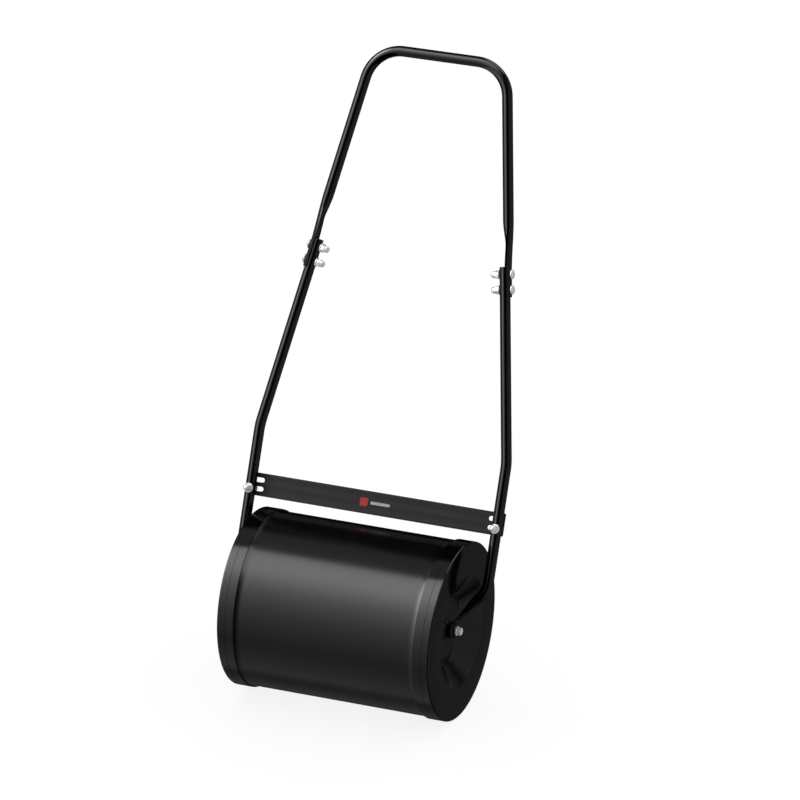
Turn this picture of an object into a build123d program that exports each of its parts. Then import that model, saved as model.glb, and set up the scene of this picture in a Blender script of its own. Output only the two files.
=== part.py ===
from build123d import *
import os
from math import cos, radians, sin, tan

# Push-along lawn roller: a hollow steel drum that turns on a fixed axle, carried by a bolted
# tube handle that leans back from the drum. Millimetres. +X runs along the drum's axis,
# +Y is the side the handle leans to, +Z is up, and the origin is on the ground under the
# middle of the axle.

# ---------------------------------------------------------------- driving dimensions
overall_height = 1080.0
drum_width = 400.0
rim_diameter = 320.0
handle_lean = 23.4

sheet = 1.2                     # drum and end sheet
waist_drop = 3.0                # how far the drum's body lies under its rims
flare_length = 28.0             # stretch over which the body rises to the rim
rim_band = 14.0                 # width of the end's rolled skirt
seam_gap = 1.0                  # open seam between skirt and drum body
lap_length = 9.0                # tongue of the drum body that the skirt slides over
joggle = 1.6                    # thickness of the step that carries the tongue

face_edge_radius = 3.0
face_width = 59.0               # flat ring between the rim and the recess
recess_rim_fillet = 5.0
recess_run = 37.0               # how far the recess's side runs in towards the axle
recess_floor_fillet = 9.0
recess_depth = 30.0

sleeve_bore = 25.0
sleeve_wall = 2.5
weld_leg = 4.0

axle_diameter = 16.0
axle_chamfer = 0.5
running_clearance = 0.05
bush_length = 24.0
bush_flange = 3.0
bush_flange_diameter = 34.0
bush_lead_chamfer = 0.8
end_float = 0.5                 # gap between bush flange and handle on each side

tube_diameter = 19.0
tube_wall = 1.2
leg_gap = 25.0                  # clear space between the drum's end and a leg
knee_height = 302.5             # where a leg turns inwards, measured up the handle
knee_radius = 120.0
toe_in = 9.6
ankle_height = 80.0             # where a leg turns in towards the axle
ankle_radius = 45.0
crimp_start = 24.0              # from the ankle corner along the slanting foot
foot_length = 18.0              # height of the flat lug's upper end above the axle
lug_thickness = 3.0
lug_width = 27.0
lug_set_in = 10.0               # a lug's outer face lies this far behind the drum's end
thigh_length = 345.0            # from the knee to the leg's cut top end

upper_offset = 7.1              # the upper tube lies this far outside the leg's own line
saddle_wall = 2.8
saddle_overlap = 53.0
saddle_wrap = 75.0              # half of the angle that the saddle wraps round the leg
squash_length = 78.0            # stretch over which the round tube becomes the saddle
saddle_run_on = 1.0             # how far the saddle's section runs past the leg's end
saddle_root = 3.0               # how far the saddle is let into the squashed tube
squash_breadth = 23.2           # across the flattened tube where it meets the saddle
squash_middle_breadth = 21.4
squash_middle_depth = 12.5
squash_middle_offset = 8.8
grip_corner_radius = 65.0

plate_gap = 15.5                # between the drum's rim and the plate, up the handle
plate_width = 41.0
plate_thickness = 2.5
plate_corner = 2.0
slot_play = 0.5                 # slack of a bolt across its slot
slot_pitch = 16.0
slot_reach = 21.0               # how far a slot runs inwards from its leg's centre line

bolt_diameter = 8.0
bolt_clearance = 0.2
joint_bolt_inset = 13.0         # from the leg's top end
joint_bolt_pitch = 27.0
cup_head_diameter = 17.0
cup_head_height = 5.0
cup_head_fillet = 4.0
bolt_end_chamfer = 0.8
hex_across_flats = 13.0
hex_head_height = 5.3
corner_slope = 0.55             # fall of the cone that trims a hexagon's corners, per unit out
nut_height = 6.5
dome_height = 8.5
dome_diameter = 12.0
dome_root = 1.0                 # how far the dome is let into the hexagon
nut_bore_depth = 11.0
bore_spare = 1.0                # empty depth of a nut's bore past its bolt's end
washer_diameter = 17.0
washer_thickness = 1.6
spring_washer_diameter = 14.5
spring_washer_thickness = 2.0
spring_washer_gap = 1.5
tapped_depth = 26.0
axle_bolt_reach = 22.0          # length of bolt inside the axle

port_inset = 31.0               # from the rim to the filler hole's centre
port_angle = 68.0               # from straight up, towards the handle's side
port_bore = 26.0
boss_wall = 4.0
boss_length = 12.0
boss_chamfer = 1.0
plug_clearance = 0.3
plug_shank_length = 13.0
plug_flange_diameter = 37.0
plug_flange = 3.5
plug_flange_chamfer = 0.8
plug_lead_chamfer = 1.2
plug_grip_across_flats = 24.0
plug_grip_height = 7.0
plug_grip_draft = 4.0           # degrees that the grip's sides lean in
gasket_thickness = 2.0
gasket_diameter = 34.0

# ---------------------------------------------------------------- worked-out sizes
half_width = drum_width / 2
rim_radius = rim_diameter / 2
tube_radius = tube_diameter / 2
tube_bore = tube_radius - tube_wall
leg_half_spacing = half_width + leg_gap + tube_radius
axle_radius = axle_diameter / 2
bolt_radius = bolt_diameter / 2
bolt_hole_radius = bolt_radius + bolt_clearance
slot_width = bolt_diameter + slot_play
sleeve_radius = sleeve_bore / 2 + sleeve_wall
lug_outer_x = half_width - lug_set_in
lug_inner_x = lug_outer_x - lug_thickness
lug_centre_x = lug_outer_x - lug_thickness / 2
flange_outer_x = lug_inner_x - end_float
sleeve_half_length = flange_outer_x - bush_flange
recess_rim_radius = rim_radius - face_width
recess_floor_radius = recess_rim_radius - recess_run
recess_floor_x = half_width - recess_depth
seam_x = half_width - rim_band
port_radius = rim_radius - port_inset
plate_centre = rim_radius + plate_gap + plate_width / 2
grip_height = (overall_height - rim_radius - tube_radius) / cos(radians(handle_lean))

drum_axis = Axis((0, 0, rim_radius), (1, 0, 0))
drum_plane = Plane(origin=(0, 0, rim_radius), x_dir=(1, 0, 0), z_dir=(0, -1, 0))
front = Vector(0, -cos(radians(handle_lean)), sin(radians(handle_lean)))
lean_plane = Plane(origin=(0, 0, rim_radius), x_dir=(1, 0, 0), z_dir=front)

# Directions of the right leg above its knee, in the handle's own plane.
up_leg = Vector(-sin(radians(toe_in)), cos(radians(toe_in)))
out_leg = Vector(cos(radians(toe_in)), sin(radians(toe_in)))
knee = Vector(leg_half_spacing, knee_height)
ankle = Vector(leg_half_spacing, ankle_height)
lug_top = Vector(lug_centre_x, foot_length)
foot_direction = (lug_top - ankle).normalized()

os.makedirs("parts", exist_ok=True)


def write_part(piece, name):
    """Label a finished piece and write it to its own file."""
    piece.label = name
    export_step(piece, f"parts/{name}.step")


def in_space(point):
    """A point of the handle's plane, as a point of the whole roller."""
    return lean_plane.from_local_coords(Vector(point.X, point.Y, 0))


def direction(vector):
    """A direction of the handle's plane, as a direction of the whole roller."""
    return in_space(vector) - in_space(Vector(0, 0))


def leg_point(distance, outward=0.0):
    """A point beside the right leg: up from the knee, and outward from its centre line."""
    return in_space(knee + up_leg * distance + out_leg * outward)


def both_sides(plane):
    """A plane on the right-hand side and its mirror image on the left."""
    origin = Vector(-plane.origin.X, plane.origin.Y, plane.origin.Z)
    x_dir = Vector(-plane.x_dir.X, plane.x_dir.Y, plane.x_dir.Z)
    z_dir = Vector(-plane.z_dir.X, plane.z_dir.Y, plane.z_dir.Z)
    return [plane, Plane(origin=origin, x_dir=x_dir, z_dir=z_dir)]


def disc(plane, radius):
    """A round section drawn on a plane across a tube."""
    with BuildSketch(plane) as section:
        Circle(radius)
    return section.sketch


# ---------------------------------------------------------------- drum
# The body: rolled sheet that flares to the rims and ends in a joggled tongue.
def flared_edge(radius):
    """Half of the drum's outline at one face of the sheet, from its middle to the seam."""
    flare_end = seam_x - joggle
    start = (flare_end - flare_length, radius)
    middle = (flare_end - flare_length / 2, radius + waist_drop / 2)
    end = (flare_end, radius + waist_drop)
    Line((0, radius), start)
    first = TangentArc(start, middle, tangent=(1, 0))
    TangentArc(middle, end, tangent=first % 1)
    return end


waist_radius = rim_radius - waist_drop
tongue_radius = rim_radius - sheet
with BuildPart() as drum_shell:
    with BuildSketch(drum_plane):
        with BuildLine():
            outer_end = flared_edge(waist_radius)
            inner_end = flared_edge(waist_radius - sheet)
            Line((0, waist_radius), (0, waist_radius - sheet))
            Polyline(
                outer_end,
                (seam_x, rim_radius),
                (seam_x, tongue_radius),
                (seam_x + lap_length, tongue_radius),
                (seam_x + lap_length, tongue_radius - sheet),
                (seam_x - joggle, tongue_radius - sheet),
                inner_end,
            )
        make_face()
    revolve(axis=drum_axis)
    mirror(about=Plane.YZ)
write_part(drum_shell.part, "drum_shell")

# The ends: pressed dishes with a skirt round the rim and a deep recess for the handle's lugs.
with BuildPart() as end_cap_right:
    with BuildSketch(drum_plane):
        with BuildLine():
            FilletPolyline(
                (seam_x + seam_gap, rim_radius),
                (half_width, rim_radius),
                (half_width, recess_rim_radius),
                (recess_floor_x, recess_floor_radius),
                (recess_floor_x, sleeve_radius),
                radius=[face_edge_radius, recess_rim_fillet, recess_floor_fillet],
            )
            offset(amount=sheet, side=Side.RIGHT)
        make_face()
    revolve(axis=drum_axis)
write_part(end_cap_right.part, "end_cap_right")

# The filler hole is in the left end only.
port_y = port_radius * sin(radians(port_angle))
port_z = rim_radius + port_radius * cos(radians(port_angle))
port_plane = Plane(origin=(-half_width, port_y, port_z), x_dir=(0, 1, 0), z_dir=(-1, 0, 0))
with BuildPart() as end_cap_left:
    mirror(end_cap_right.part, about=Plane.YZ)
    with BuildSketch(port_plane):
        Circle(port_bore / 2)
    extrude(amount=-2 * sheet, mode=Mode.SUBTRACT)
write_part(end_cap_left.part, "end_cap_left")

with BuildPart() as fill_boss:
    with BuildSketch(port_plane.offset(-sheet)):
        Circle(port_bore / 2 + boss_wall)
        Circle(port_bore / 2, mode=Mode.SUBTRACT)
    extrude(amount=-boss_length)
    chamfer(fill_boss.faces().sort_by(Axis.X)[-1].edges(), length=boss_chamfer)
write_part(fill_boss.part, "fill_boss")

# The centre sleeve: a tube from end to end, welded to the floor of each recess.
sleeve_plane = Plane(origin=(0, 0, rim_radius), x_dir=(0, 1, 0), z_dir=(1, 0, 0))
with BuildPart() as axle_sleeve:
    with BuildSketch(sleeve_plane):
        Circle(sleeve_radius)
        Circle(sleeve_bore / 2, mode=Mode.SUBTRACT)
    extrude(amount=sleeve_half_length, both=True)
write_part(axle_sleeve.part, "axle_sleeve")

with BuildPart() as hub_welds:
    with BuildSketch(drum_plane):
        with BuildLine():
            bead_foot = (recess_floor_x, sleeve_radius + weld_leg)
            bead_top = (recess_floor_x + weld_leg, sleeve_radius)
            Line(bead_foot, (recess_floor_x, sleeve_radius))
            Line((recess_floor_x, sleeve_radius), bead_top)
            RadiusArc(bead_top, bead_foot, weld_leg)
        make_face()
    revolve(axis=drum_axis)
    mirror(about=Plane.YZ)
write_part(hub_welds.part, "hub_welds")

# Flanged nylon bushes, pressed into the sleeve's two ends.
with BuildPart() as bush_right:
    with BuildSketch(sleeve_plane.offset(sleeve_half_length)):
        Circle(bush_flange_diameter / 2)
    extrude(amount=bush_flange)
    with BuildSketch(sleeve_plane.offset(sleeve_half_length)):
        Circle(sleeve_bore / 2)
    extrude(amount=-bush_length)
    with BuildSketch(sleeve_plane.offset(flange_outer_x)):
        Circle(axle_radius + running_clearance)
    extrude(amount=-(bush_flange + bush_length), mode=Mode.SUBTRACT)
    chamfer(bush_right.faces().sort_by(Axis.X)[0].outer_wire().edges(), length=bush_lead_chamfer)
write_part(bush_right.part, "bush_right")

with BuildPart() as bush_left:
    mirror(bush_right.part, about=Plane.YZ)
write_part(bush_left.part, "bush_left")

# The filler plug and its sealing ring.
plug_seat = port_plane.offset(plug_clearance + gasket_thickness)
plug_radius = port_bore / 2 - plug_clearance
with BuildPart() as fill_plug:
    with BuildSketch(plug_seat):
        Circle(plug_flange_diameter / 2)
    extrude(amount=plug_flange)
    chamfer(fill_plug.faces().sort_by(Axis.X)[0].edges(), length=plug_flange_chamfer)
    with BuildSketch(plug_seat.offset(plug_flange)):
        RegularPolygon(radius=plug_grip_across_flats / 2, side_count=6, major_radius=False)
    extrude(amount=plug_grip_height, taper=plug_grip_draft)
    with BuildSketch(plug_seat):
        Circle(plug_radius)
    extrude(amount=-(gasket_thickness + plug_shank_length))
    chamfer(fill_plug.faces().sort_by(Axis.X)[-1].edges(), length=plug_lead_chamfer)
write_part(fill_plug.part, "fill_plug")

with BuildPart() as plug_gasket:
    with BuildSketch(plug_seat):
        Circle(gasket_diameter / 2)
        Circle(plug_radius, mode=Mode.SUBTRACT)
    extrude(amount=-gasket_thickness)
write_part(plug_gasket.part, "plug_gasket")

# ---------------------------------------------------------------- axle
# A solid bar, tapped at both ends and clamped between the handle's lugs.
with BuildPart() as axle_shaft:
    with BuildSketch(sleeve_plane):
        Circle(axle_radius)
    extrude(amount=lug_inner_x, both=True)
    chamfer(axle_shaft.edges().filter_by(GeomType.CIRCLE), length=axle_chamfer)
    for end_plane in both_sides(sleeve_plane.offset(lug_inner_x)):
        with BuildSketch(end_plane):
            Circle(bolt_radius)
        extrude(amount=-tapped_depth, mode=Mode.SUBTRACT)
write_part(axle_shaft.part, "axle_shaft")

# ---------------------------------------------------------------- handle
# The legs: one tube each, turned in at the knee and the ankle, flattened to a lug on the axle.
crimp_point = ankle + foot_direction * crimp_start
crimp_middle = (crimp_point + lug_top) * 0.5
leg_top = knee + up_leg * thigh_length
width_dir = front

joint_bolt_distances = [
    thigh_length - joint_bolt_inset,
    thigh_length - joint_bolt_inset - joint_bolt_pitch,
]
lower_slot_height = plate_centre - slot_pitch / 2
leg_bolt_plane = Plane(
    origin=in_space(Vector(leg_half_spacing, lower_slot_height)), x_dir=(1, 0, 0), z_dir=front
)
joint_bolt_planes = [
    Plane(origin=leg_point(distance), x_dir=width_dir, z_dir=direction(out_leg))
    for distance in joint_bolt_distances
]

with BuildPart() as lower_leg_right:
    with BuildLine(lean_plane) as leg_path:
        route = [in_space(point) for point in (leg_top, knee, ankle, crimp_point)]
        FilletPolyline(route, radius=[knee_radius, ankle_radius])
    leg_start = Plane(origin=leg_path.line @ 0, x_dir=width_dir, z_dir=leg_path.line % 0)
    sweep(sections=disc(leg_start, tube_radius), path=leg_path.line)
    sweep(sections=disc(leg_start, tube_bore), path=leg_path.line, mode=Mode.SUBTRACT)
    with BuildSketch(
        Plane(origin=in_space(crimp_point), x_dir=width_dir, z_dir=direction(foot_direction))
    ):
        Circle(tube_radius)
    with BuildSketch(
        Plane(origin=in_space(crimp_middle), x_dir=width_dir, z_dir=direction(foot_direction))
    ):
        Ellipse((tube_radius + lug_width / 2) / 2, (tube_radius + lug_thickness / 2) / 2)
    with BuildSketch(
        Plane(origin=in_space(lug_top), x_dir=width_dir, z_dir=direction(Vector(0, -1)))
    ):
        Ellipse(lug_width / 2, lug_thickness / 2)
    loft()
    lug_plane = Plane(
        origin=in_space(Vector(lug_inner_x, 0)), x_dir=-width_dir, z_dir=(1, 0, 0)
    )
    with BuildSketch(lug_plane):
        Circle(lug_width / 2)
        with Locations((0, foot_length / 2)):
            Rectangle(lug_width, foot_length)
    extrude(amount=lug_thickness)
    with BuildSketch(lug_plane):
        Circle(bolt_hole_radius)
    extrude(amount=lug_thickness, mode=Mode.SUBTRACT)
    for bolt_plane in joint_bolt_planes + [leg_bolt_plane]:
        with BuildSketch(bolt_plane):
            Circle(bolt_hole_radius)
        extrude(amount=tube_diameter, both=True, mode=Mode.SUBTRACT)
write_part(lower_leg_right.part, "lower_leg_right")

with BuildPart() as lower_leg_left:
    mirror(lower_leg_right.part, about=Plane.YZ)
write_part(lower_leg_left.part, "lower_leg_left")

# The upper handle: one U of tube whose ends are squashed into saddles outside the legs.
saddle_top = thigh_length + saddle_run_on
tube_start = saddle_top + squash_length
saddle_radius = tube_radius + saddle_wall


def squash_plane(distance, outward):
    """A plane across the stretch between the saddle and the round tube."""
    return Plane(origin=leg_point(distance, outward), x_dir=width_dir, z_dir=direction(up_leg))


with BuildPart() as upper_end:
    with BuildSketch(squash_plane(saddle_top, tube_radius + saddle_wall / 2)):
        Ellipse(squash_breadth / 2, saddle_wall / 2)
    with BuildSketch(squash_plane(saddle_top + squash_length / 2, squash_middle_offset)):
        Ellipse(squash_middle_breadth / 2, squash_middle_depth / 2)
    with BuildSketch(squash_plane(tube_start, upper_offset)):
        Circle(tube_radius)
    loft()
    saddle_plane = Plane(
        origin=leg_point(thigh_length - saddle_overlap),
        x_dir=direction(out_leg),
        z_dir=direction(up_leg),
    )
    with BuildSketch(saddle_plane):
        Circle(saddle_radius)
        Circle(tube_radius, mode=Mode.SUBTRACT)
        wrap_edge = tube_radius * cos(radians(saddle_wrap))
        with Locations((wrap_edge - saddle_radius, 0)):
            Rectangle(2 * saddle_radius, 2 * saddle_radius, mode=Mode.SUBTRACT)
    extrude(amount=saddle_overlap + saddle_root)
    for bolt_plane in joint_bolt_planes:
        with BuildSketch(bolt_plane):
            Circle(bolt_hole_radius)
        extrude(amount=tube_diameter, mode=Mode.SUBTRACT)

grip_offset = knee + out_leg * upper_offset
grip_half_width = grip_offset.X - (grip_height - grip_offset.Y) * tan(radians(toe_in))
upper_start = knee + up_leg * tube_start + out_leg * upper_offset
with BuildPart() as upper_handle:
    with BuildLine(lean_plane) as grip_path:
        FilletPolyline(
            (upper_start.X, upper_start.Y),
            (grip_half_width, grip_height),
            (-grip_half_width, grip_height),
            (-upper_start.X, upper_start.Y),
            radius=grip_corner_radius,
        )
    grip_start = Plane(origin=grip_path.line @ 0, x_dir=width_dir, z_dir=grip_path.line % 0)
    sweep(sections=disc(grip_start, tube_radius), path=grip_path.line)
    add(upper_end.part)
    mirror(upper_end.part, about=Plane.YZ)
    sweep(sections=disc(grip_start, tube_bore), path=grip_path.line, mode=Mode.SUBTRACT)
write_part(upper_handle.part, "upper_handle")

# The cross plate: flat bar behind the legs, slotted at both ends.
plate_half_length = leg_half_spacing + tube_radius
slot_outer = leg_half_spacing + bolt_hole_radius
slot_inner = leg_half_spacing - slot_reach
slot_length = slot_outer - slot_inner
with BuildPart() as cross_plate:
    with BuildSketch(lean_plane.offset(-tube_radius)):
        with Locations((0, plate_centre)):
            RectangleRounded(2 * plate_half_length, plate_width, plate_corner)
            with GridLocations(slot_outer + slot_inner, slot_pitch, 2, 2):
                SlotOverall(slot_length, slot_width, mode=Mode.SUBTRACT)
    extrude(amount=-plate_thickness)
write_part(cross_plate.part, "cross_plate")


# ---------------------------------------------------------------- fasteners
# Each kind is made once, standing on its own plane, and put at every place that it is used.
def at_seats(piece, seats):
    """Copies of one fastener, each standing on its seat's plane."""
    with BuildPart() as group:
        with Locations(*[Location(seat) for seat in seats]):
            add(piece)
    return group.part


def cup_bolt(length):
    """Round-headed bolt: its head rises from the plane, and its shank goes down through it."""
    with BuildPart() as bolt:
        with BuildSketch(Plane.XY):
            Circle(cup_head_diameter / 2)
        extrude(amount=cup_head_height)
        fillet(bolt.faces().sort_by(Axis.Z)[-1].edges(), radius=cup_head_fillet)
        with BuildSketch(Plane.XY):
            Circle(bolt_radius)
        extrude(amount=-length)
        chamfer(bolt.faces().sort_by(Axis.Z)[0].edges(), length=bolt_end_chamfer)
    return bolt.part


def flat_washer(outer_diameter, thickness, gap=0.0):
    """A washer that lies on the plane, split by a gap if it is a spring washer."""
    with BuildPart() as washer:
        with BuildSketch(Plane.XY):
            Circle(outer_diameter / 2)
            Circle(bolt_hole_radius, mode=Mode.SUBTRACT)
            if gap:
                with Locations((outer_diameter / 2, 0)):
                    Rectangle(outer_diameter, gap, mode=Mode.SUBTRACT)
        extrude(amount=thickness)
    return washer.part


def hex_block(height):
    """A hexagon of the spanner size with its corners turned down to a cone on top."""
    flat_radius = hex_across_flats / 2
    with BuildPart() as block:
        with BuildSketch(Plane.XY):
            RegularPolygon(radius=flat_radius, side_count=6, major_radius=False)
        extrude(amount=height)
        with BuildSketch(Plane.XZ):
            with BuildLine():
                Polyline(
                    (0, 0),
                    (2 * flat_radius, 0),
                    (2 * flat_radius, height - flat_radius * corner_slope),
                    (flat_radius, height),
                    (0, height),
                    close=True,
                )
            make_face()
        revolve(axis=Axis.Z, mode=Mode.INTERSECT)
    return block.part


def dome_nut():
    """Hexagon nut closed by a dome, with a blind bore from below."""
    dome_radius = dome_diameter / 2
    root_height = nut_height - dome_root
    with BuildPart() as nut:
        add(hex_block(nut_height))
        with BuildSketch(Plane.XZ):
            with BuildLine():
                shoulder = (dome_radius, nut_height + dome_height - dome_radius)
                Line((0, root_height), (dome_radius, root_height))
                Line((dome_radius, root_height), shoulder)
                RadiusArc(shoulder, (0, nut_height + dome_height), -dome_radius)
                Line((0, nut_height + dome_height), (0, root_height))
            make_face()
        revolve(axis=Axis.Z)
        with BuildSketch(Plane.XY):
            Circle(bolt_radius)
        extrude(amount=nut_bore_depth, mode=Mode.SUBTRACT)
    return nut.part


def hex_bolt(length):
    """Hexagon-headed bolt: its head rises from the plane, and its shank goes down."""
    with BuildPart() as bolt:
        add(hex_block(hex_head_height))
        with BuildSketch(Plane.XY):
            Circle(bolt_radius)
        extrude(amount=-length)
        chamfer(bolt.faces().sort_by(Axis.Z)[0].edges(), length=bolt_end_chamfer)
    return bolt.part


def turned_over(plane):
    """The same plane facing the other way."""
    return Plane(origin=plane.origin, x_dir=plane.x_dir, z_dir=-plane.z_dir)


# Handle joints: head outside on the saddle, washer and dome nut inside on the leg.
saddle_seats = []
leg_seats = []
leg_nut_seats = []
for joint_plane in joint_bolt_planes:
    saddle_seats += both_sides(joint_plane.offset(saddle_radius))
    inside = turned_over(joint_plane.offset(-tube_radius))
    leg_seats += both_sides(inside)
    leg_nut_seats += both_sides(inside.offset(washer_thickness))
nut_engagement = nut_bore_depth - bore_spare
joint_shank = saddle_radius + tube_radius + washer_thickness + nut_engagement
write_part(at_seats(cup_bolt(joint_shank), saddle_seats), "joint_bolts")
write_part(
    at_seats(flat_washer(washer_diameter, washer_thickness), leg_seats), "joint_washers"
)
write_part(at_seats(dome_nut(), leg_nut_seats), "joint_nuts")

# Cross plate: head behind the plate, washer and dome nut in front of the leg.
plate_seats = both_sides(turned_over(leg_bolt_plane.offset(-tube_radius - plate_thickness)))
front_seats = both_sides(leg_bolt_plane.offset(tube_radius))
front_nut_seats = both_sides(leg_bolt_plane.offset(tube_radius + washer_thickness))
plate_shank = plate_thickness + tube_diameter + washer_thickness + nut_engagement
write_part(at_seats(cup_bolt(plate_shank), plate_seats), "plate_bolts")
write_part(
    at_seats(flat_washer(washer_diameter, washer_thickness), front_seats), "plate_washers"
)
write_part(at_seats(dome_nut(), front_nut_seats), "plate_nuts")

# Axle: flat washer, spring washer and hexagon bolt on the outside of each lug.
lug_seat = sleeve_plane.offset(lug_outer_x)
spring_seat = lug_seat.offset(washer_thickness)
head_seat = spring_seat.offset(spring_washer_thickness)
axle_bolt_length = head_seat.origin.X - lug_inner_x + axle_bolt_reach
write_part(
    at_seats(flat_washer(washer_diameter, washer_thickness), both_sides(lug_seat)),
    "axle_washers",
)
spring_washer = flat_washer(spring_washer_diameter, spring_washer_thickness, spring_washer_gap)
write_part(at_seats(spring_washer, both_sides(spring_seat)), "axle_spring_washers")
write_part(at_seats(hex_bolt(axle_bolt_length), both_sides(head_seat)), "axle_bolts")
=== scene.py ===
from math import ceil, cos, hypot, pi, radians, sin, tan

import bmesh
import bpy
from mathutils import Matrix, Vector


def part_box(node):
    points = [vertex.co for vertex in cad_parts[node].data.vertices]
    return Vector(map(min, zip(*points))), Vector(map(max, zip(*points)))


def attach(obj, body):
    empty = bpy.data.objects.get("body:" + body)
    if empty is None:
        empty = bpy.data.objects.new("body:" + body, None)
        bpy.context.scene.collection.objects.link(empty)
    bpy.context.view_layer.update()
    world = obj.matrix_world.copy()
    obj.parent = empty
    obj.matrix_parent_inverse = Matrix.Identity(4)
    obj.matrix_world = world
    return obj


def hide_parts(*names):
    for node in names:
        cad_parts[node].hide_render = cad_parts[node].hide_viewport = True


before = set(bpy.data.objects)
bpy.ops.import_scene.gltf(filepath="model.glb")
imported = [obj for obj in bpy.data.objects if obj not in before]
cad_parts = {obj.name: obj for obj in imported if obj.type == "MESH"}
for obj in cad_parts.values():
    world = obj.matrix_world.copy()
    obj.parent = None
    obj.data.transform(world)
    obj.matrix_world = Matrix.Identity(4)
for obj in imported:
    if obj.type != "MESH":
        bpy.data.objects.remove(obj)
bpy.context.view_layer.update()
scene = bpy.context.scene


# ------------------------------------------------------------------ camera
# A long lens ten metres away, in front of the roller's right end and above it.
camera_turn = radians(22.1)
camera_rise = radians(23.27)
camera_reach = 10.0
camera_aim = Vector((0.0824, 0.0, 0.5830))

camera_data = bpy.data.cameras.new("camera")
camera_data.sensor_width = 36
camera_data.lens = 260.16
camera = bpy.data.objects.new("camera", camera_data)
scene.collection.objects.link(camera)
view_direction = Vector((
    sin(camera_turn) * cos(camera_rise),
    -cos(camera_turn) * cos(camera_rise),
    sin(camera_rise),
))
camera.location = camera_aim + camera_reach * view_direction
camera.rotation_euler = (pi / 2 - camera_rise, 0, camera_turn)
scene.camera = camera


# ------------------------------------------------------------------ studio
# A pale floor that fades into a white room. The room is a soft light tent: a long bank overhead
# that thins out towards the front left, and weaker banks behind and at the right.
def place(tree, kind, settings=None, inputs=None):
    """A node with its settings and inputs; an input that is another node's socket is linked."""
    node = tree.nodes.new(kind)
    for name, value in (settings or {}).items():
        setattr(node, name, value)
    for name, value in (inputs or {}).items():
        if isinstance(value, bpy.types.NodeSocket):
            tree.links.new(value, node.inputs[name])
        else:
            node.inputs[name].default_value = value
    return node


def maths(tree, operation, *values):
    """The result of one Math node."""
    node = place(tree, "ShaderNodeMath", {"operation": operation}, dict(enumerate(values)))
    return node.outputs[0]


def faded(tree, value, start, end, low=0.0, high=1.0):
    """Goes smoothly from low to high while a value goes from start to end."""
    node = place(
        tree,
        "ShaderNodeMapRange",
        {"interpolation_type": "SMOOTHSTEP"},
        {"Value": value, "From Min": start, "From Max": end, "To Min": low, "To Max": high},
    )
    return node.outputs[0]


def bank(tree, angle, stops):
    """The brightness of the tent's wall by its angle, forwards from straight up, in degrees."""
    share = maths(tree, "MULTIPLY_ADD", angle, 1 / 360, 0.5)
    ramp = place(tree, "ShaderNodeValToRGB", None, {"Fac": share})
    while len(ramp.color_ramp.elements) < len(stops):
        ramp.color_ramp.elements.new(1.0)
    for element, (degrees, level) in zip(ramp.color_ramp.elements, stops):
        element.position = degrees / 360 + 0.5
        element.color = (level, level, level, 1)
    return ramp.outputs["Color"]


left_bank_stops = [
    (-150, 0.03), (-115, 0.0), (-34, 0.0), (-26, 0.085), (0, 0.09), (4, 0.86), (16, 1.0),
    (27, 1.0), (41, 0.72), (54, 0.47), (68, 0.31), (82, 0.21), (96, 0.145), (123, 0.075),
    (168, 0.1), (180, 0.04),
]
top_bank_stops = [(-2, 0.0), (4, 0.7), (30, 0.75), (44, 0.06), (56, 0.0)]
rear_bank_stops = [
    (-180, 0.02), (-130, 0.016), (-110, 0.017), (-78, 0.022), (-64, 0.14), (-48, 0.4),
    (-30, 0.5), (-14, 0.5), (-8, 0.02), (60, 0.0), (120, 0.0), (180, 0.02),
]

world = bpy.data.worlds.new("studio")
world.use_nodes = True
scene.world = world
sky = world.node_tree
sky.nodes.clear()
room_direction = place(sky, "ShaderNodeTexCoord").outputs["Generated"]
room_axes = place(sky, "ShaderNodeSeparateXYZ", None, {0: room_direction}).outputs
forwards = maths(sky, "MULTIPLY", room_axes["Y"], -1.0)
tent_angle = maths(sky, "DEGREES", maths(sky, "ARCTAN2", forwards, room_axes["Z"]))
left_share = faded(sky, room_axes["X"], -0.1, -0.3)
left_boost = faded(sky, room_axes["X"], -0.5, -0.68, 1.0, 3.1)
left_end = faded(sky, room_axes["X"], -0.76, -0.88, 1.0, 0.06)
left_bank = maths(
    sky,
    "MULTIPLY",
    bank(sky, tent_angle, left_bank_stops),
    maths(sky, "MULTIPLY", left_boost, left_end),
)
top_bank = maths(
    sky,
    "MULTIPLY",
    bank(sky, tent_angle, top_bank_stops),
    faded(sky, room_axes["X"], 0.1, 0.3, 1.0, 0.0),
)
rear_bank = maths(
    sky,
    "MULTIPLY",
    bank(sky, tent_angle, rear_bank_stops),
    maths(
        sky,
        "MULTIPLY",
        faded(sky, room_axes["X"], -0.24, 0.0),
        faded(sky, room_axes["X"], 0.4, 0.58, 1.0, 0.0),
    ),
)
right_bank = maths(sky, "ADD", top_bank, rear_bank)
side_glow = maths(
    sky,
    "ADD",
    faded(sky, room_axes["X"], 0.5, 0.8, 0.0, 0.075),
    faded(sky, room_axes["X"], -0.9, -0.97, 0.0, 0.06),
)
tent = maths(
    sky,
    "ADD",
    maths(sky, "MULTIPLY", left_bank, left_share),
    maths(
        sky,
        "ADD",
        maths(sky, "MULTIPLY", right_bank, maths(sky, "SUBTRACT", 1.0, left_share)),
        side_glow,
    ),
)
tent_light = place(sky, "ShaderNodeBackground", None, {"Color": tent, "Strength": 3.8})
room_light = place(sky, "ShaderNodeBackground", None, {"Color": (1, 1, 1, 1), "Strength": 0.9})
backdrop = place(sky, "ShaderNodeBackground", None, {"Color": (1, 1, 1, 1), "Strength": 1.0})
ray = place(sky, "ShaderNodeLightPath").outputs
seen_dull = place(
    sky, "ShaderNodeMixShader", None, {0: ray["Is Glossy Ray"], 1: room_light.outputs[0],
                                       2: tent_light.outputs[0]}
)
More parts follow.
